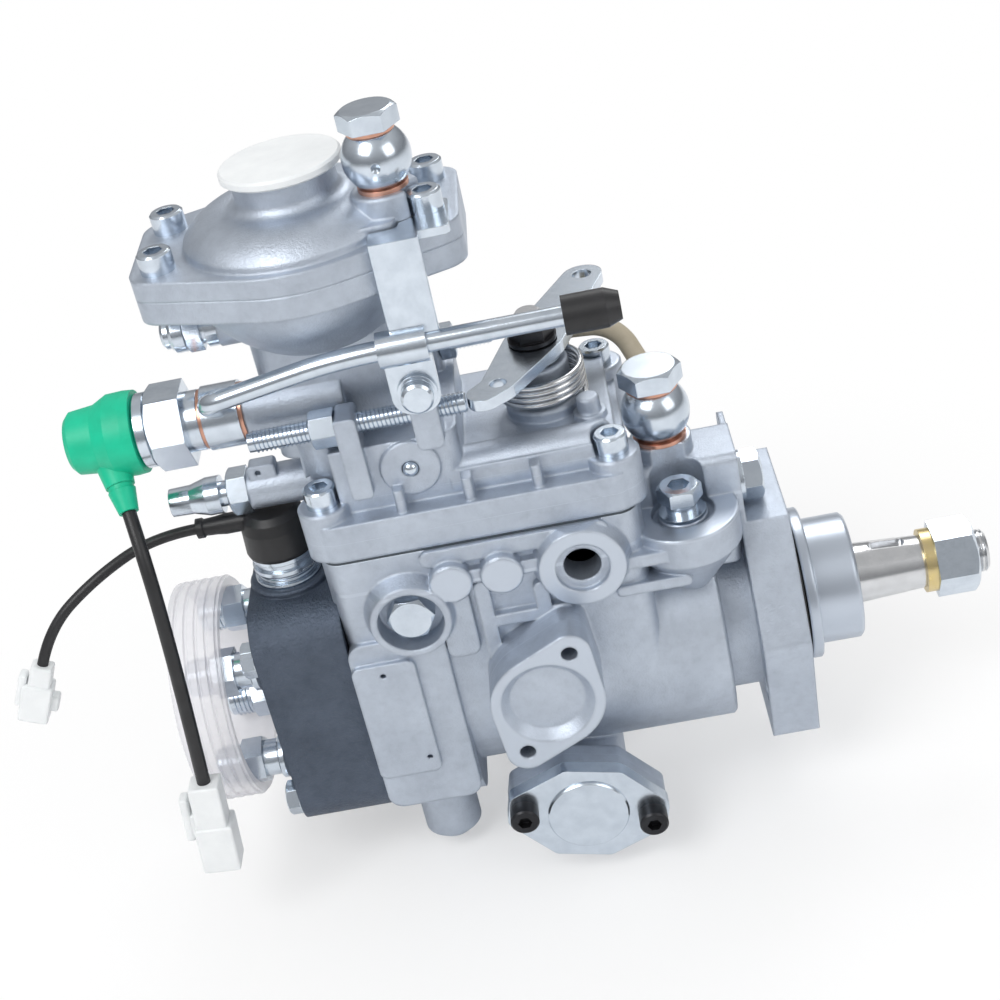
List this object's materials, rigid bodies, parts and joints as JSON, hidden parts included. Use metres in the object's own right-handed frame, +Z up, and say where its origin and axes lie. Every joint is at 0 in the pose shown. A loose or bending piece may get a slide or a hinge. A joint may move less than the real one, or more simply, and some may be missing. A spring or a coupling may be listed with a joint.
{
  "type": "diesel injection pump",
  "caption": "Distributor diesel injection pump with flanged drive end, tapered keyed shaft, governor cover with boost compensator, throttle lever, shut-off solenoid and radial delivery outlets.",
  "frame": {"origin": "centre of the mounting flange's pitch circle, on the mounting face and the drive shaft's axis", "axes": "+X along the drive shaft out of the nose, +Z up to the boost compensator, -Y the side with the two-hole pad"},
  "size_m": [0.3144, 0.1169, 0.2506],
  "materials": {
    "cast_aluminium": "satin cast",
    "dark_head": "rough cast",
    "zinc_steel": "bright zinc plate",
    "black_oxide": "satin oxide",
    "machined_steel": "ground",
    "piston_aluminium": "anodised",
    "yellow_zinc": "yellow zinc plate",
    "copper": "bare copper",
    "bronze": "bare bronze",
    "black_rubber": "satin",
    "green_rubber": "satin",
    "white_plastic": "satin",
    "clear_plastic": "translucent milky",
    "hose_rubber": "matt",
    "gasket_paper": "matt"
  },
  "bodies": {
    "casing": {"pump_housing": "cast_aluminium", "pilot_o_ring": "black_rubber", "shaft_seal": "black_rubber", "shaft_bush": "bronze", "governor_cover": "cast_aluminium", "cover_gasket": "gasket_paper", "cap_screws": "zinc_steel", "boost_cover": "cast_aluminium", "boost_port_cap": "white_plastic", "banjo_fittings": "zinc_steel", "banjo_bolts": "zinc_steel", "copper_washers": "copper", "pipe_bracket": "zinc_steel", "boost_pipe": "zinc_steel", "pipe_end_cap": "black_rubber", "switch_body": "zinc_steel", "switch_boot": "green_rubber", "switch_cord": "black_rubber", "switch_plug": "white_plastic", "solenoid_body": "zinc_steel", "solenoid_boot": "black_rubber", "solenoid_cord": "black_rubber", "solenoid_plug": "white_plastic", "full_load_screw": "zinc_steel", "lock_nuts": "zinc_steel", "speed_screws": "zinc_steel", "return_hose": "hose_rubber", "screw_plugs": "zinc_steel", "hex_bolts": "zinc_steel", "timing_covers": "zinc_steel", "timing_cover_screws": "black_oxide", "distributor_head": "dark_head", "delivery_holders": "zinc_steel", "transport_ring": "clear_plastic", "vane_pump_ring": "machined_steel", "distributor_barrel": "machined_steel", "governor_spindle": "machined_steel", "return_spring": "machined_steel"},
    "drive_line": {"drive_shaft": "machined_steel", "shaft_nut": "zinc_steel", "spring_washer": "yellow_zinc", "vane_rotor": "machined_steel", "governor_drive_gear": "machined_steel"},
    "plunger": {"cam_plate": "machined_steel", "distributor_plunger": "machined_steel"},
    "governor_cage": {"flyweight_carrier": "machined_steel"},
    "weight_1": {"flyweight_1": "machined_steel"},
    "weight_2": {"flyweight_2": "machined_steel"},
    "weight_3": {"flyweight_3": "machined_steel"},
    "weight_4": {"flyweight_4": "machined_steel"},
    "sliding_sleeve": {"governor_sleeve": "machined_steel"},
    "starting_lever": {"governor_lever": "machined_steel"},
    "spool": {"control_spool": "machined_steel"},
    "rollers": {"roller_ring": "machined_steel"},
    "advance_piston": {"timing_piston": "piston_aluminium"},
    "throttle": {"throttle_shaft": "machined_steel", "throttle_lever": "zinc_steel", "lever_nut": "black_oxide"},
    "diaphragm": {"boost_diaphragm": "black_rubber"},
    "armature": {"solenoid_armature": "machined_steel"}
  },
  "joints": [
    {"name": "drive_shaft_spin", "type": "hinge", "parent": "casing", "child": "drive_line", "pos_m": [0, 0, 0], "axis": [1, 0, 0], "continuous": true},
    {"name": "governor_spin", "type": "hinge", "parent": "casing", "child": "governor_cage", "pos_m": [-0.06, 0, 0.052], "axis": [1, 0, 0], "continuous": true},
    {"name": "plunger_lift", "type": "slide", "parent": "drive_line", "child": "plunger", "axis": [1, 0, 0], "range_m": [0, 0.0022]},
    {"name": "governor_lever_swing", "type": "hinge", "parent": "casing", "child": "starting_lever", "pos_m": [-0.1185, 0, 0.042], "axis": [0, 1, 0], "range_deg": [-4.3, 4.3], "stiffness_Nm_per_rad": 0.6},
    {"name": "governor_sleeve_slide", "type": "slide", "parent": "casing", "child": "sliding_sleeve", "axis": [1, 0, 0], "range_m": [-0.0008, 0.0008]},
    {"name": "control_spool_slide", "type": "slide", "parent": "casing", "child": "spool", "axis": [1, 0, 0], "range_m": [-0.0026, 0.0026]},
    {"name": "timing_piston_slide", "type": "slide", "parent": "casing", "child": "advance_piston", "axis": [0, 1, 0], "range_m": [0, 0.005], "stiffness_N_per_m": 2000},
    {"name": "roller_ring_turn", "type": "hinge", "parent": "casing", "child": "rollers", "pos_m": [-0.078, 0, 0], "axis": [1, 0, 0], "range_deg": [0, 7.3]},
    {"name": "throttle_turn", "type": "hinge", "parent": "casing", "child": "throttle", "pos_m": [-0.067, -0.0015, 0.1], "axis": [0, 0, 1], "range_deg": [0, 37.5], "stiffness_Nm_per_rad": 0.6},
    {"name": "boost_diaphragm_stroke", "type": "slide", "parent": "casing", "child": "diaphragm", "axis": [0, 0, -1], "range_m": [0, 0.005], "stiffness_N_per_m": 1500, "springref_m": -0.003},
    {"name": "solenoid_armature_lift", "type": "slide", "parent": "casing", "child": "armature", "axis": [0, 0, 1], "range_m": [0, 0.0015], "stiffness_N_per_m": 500, "springref_m": -0.001},
    {"name": "flyweight_1_swing", "type": "hinge", "parent": "governor_cage", "child": "weight_1", "pos_m": [-0.0615, 0.0155, 0.052], "axis": [0, 0, -1], "range_deg": [-5.5, 5.5]},
    {"name": "flyweight_2_swing", "type": "hinge", "parent": "governor_cage", "child": "weight_2", "pos_m": [-0.0615, 0, 0.0675], "axis": [0, 1, 0], "range_deg": [-5.5, 5.5]},
    {"name": "flyweight_3_swing", "type": "hinge", "parent": "governor_cage", "child": "weight_3", "pos_m": [-0.0615, -0.0155, 0.052], "axis": [0, 0, 1], "range_deg": [-5.5, 5.5]},
    {"name": "flyweight_4_swing", "type": "hinge", "parent": "governor_cage", "child": "weight_4", "pos_m": [-0.0615, 0, 0.0365], "axis": [0, -1, 0], "range_deg": [-5.5, 5.5]}
  ],
  "couplings": [
    {"joint": "governor_spin", "follows": "drive_shaft_spin", "ratio": -1.5},
    {"joint": "governor_sleeve_slide", "follows": "governor_lever_swing", "m_per_rad": 0.01},
    {"joint": "control_spool_slide", "follows": "governor_lever_swing", "m_per_rad": -0.033},
    {"joint": "roller_ring_turn", "follows": "timing_piston_slide", "rad_per_m": 25.317},
    {"joint": "flyweight_1_swing", "follows": "governor_lever_swing", "ratio": -1.22},
    {"joint": "flyweight_2_swing", "follows": "governor_lever_swing", "ratio": -1.22},
    {"joint": "flyweight_3_swing", "follows": "governor_lever_swing", "ratio": -1.22},
    {"joint": "flyweight_4_swing", "follows": "governor_lever_swing", "ratio": -1.22}
  ]
}
